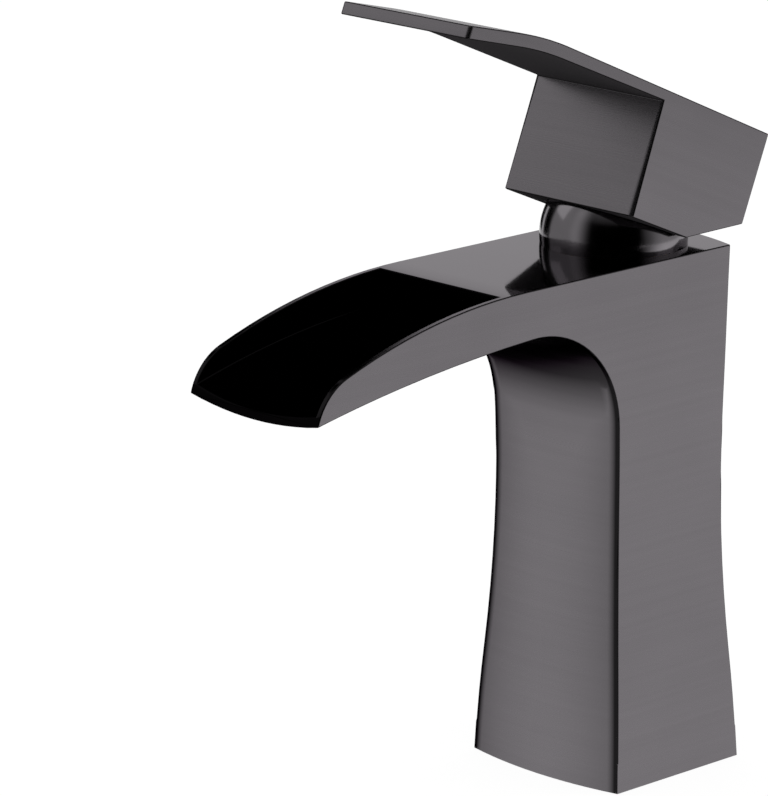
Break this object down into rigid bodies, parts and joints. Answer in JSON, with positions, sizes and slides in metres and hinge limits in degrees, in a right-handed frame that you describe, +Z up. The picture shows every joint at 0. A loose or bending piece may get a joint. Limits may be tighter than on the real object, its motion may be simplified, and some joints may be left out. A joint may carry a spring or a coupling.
{
  "type": "waterfall basin faucet",
  "caption": "Single-lever basin faucet with a flared square column, an open waterfall spout, a lifting and swivelling block handle, a ceramic disc cartridge and a clamped deck shank.",
  "frame": {"origin": "centre of the base on the deck plane, on the mounting shank's axis", "axes": "+Z up the column, -Y out along the spout, +X to the left of someone standing at the basin facing the faucet"},
  "size_m": [0.05, 0.1536, 0.2609],
  "materials": {
    "body_finish": "brushed gunmetal plating on cast brass",
    "handle_finish": "brushed gunmetal plating on a cast handle",
    "dome_finish": "polished black plating",
    "bare_brass": "machined",
    "pin_steel": "ground",
    "washer_steel": "zinc plated",
    "cartridge_plastic": "moulded",
    "sleeve_plastic": "moulded, low friction",
    "ceramic_disc": "lapped",
    "seal_rubber": "moulded",
    "plug_rubber": "matt"
  },
  "bodies": {
    "faucet": {"faucet_body": "body_finish", "cartridge_housing": "cartridge_plastic", "cartridge_base": "cartridge_plastic", "inlet_seals": "seal_rubber", "port_seals": "seal_rubber", "fixed_disc": "ceramic_disc", "cartridge_nut": "bare_brass", "bonnet_o_ring": "seal_rubber", "dome_cover": "dome_finish", "base_gasket": "seal_rubber", "mounting_shank": "bare_brass"},
    "swivel": {"swivel_sleeve": "sleeve_plastic", "sleeve_seal": "seal_rubber", "stem_pin": "pin_steel"},
    "lever": {"handle": "handle_finish", "lever_stem": "pin_steel", "grub_screw": "pin_steel", "screw_plug": "plug_rubber"},
    "mixer": {"moving_disc": "ceramic_disc", "disc_carrier": "sleeve_plastic"},
    "deck_clamp": {"rubber_washer": "seal_rubber", "steel_washer": "washer_steel", "lock_nut": "bare_brass"}
  },
  "joints": [
    {"name": "temperature_swivel", "type": "hinge", "parent": "faucet", "child": "swivel", "pos_m": [0, 0.0008, 0.1342], "axis": [0, 0, 1], "range_deg": [-45, 45]},
    {"name": "lever_lift", "type": "hinge", "parent": "swivel", "child": "lever", "pos_m": [0, 0.0008, 0.1342], "axis": [1, 0, 0], "range_deg": [0, 23]},
    {"name": "disc_slide", "type": "slide", "parent": "swivel", "child": "mixer", "axis": [0, 1, 0], "range_m": [0, 0.0049]},
    {"name": "clamp_travel", "type": "slide", "parent": "faucet", "child": "deck_clamp", "axis": [0, 0, 1], "range_m": [-0.016, 0.025]}
  ],
  "couplings": [
    {"joint": "disc_slide", "follows": "lever_lift", "m_per_rad": 0.012167}
  ]
}
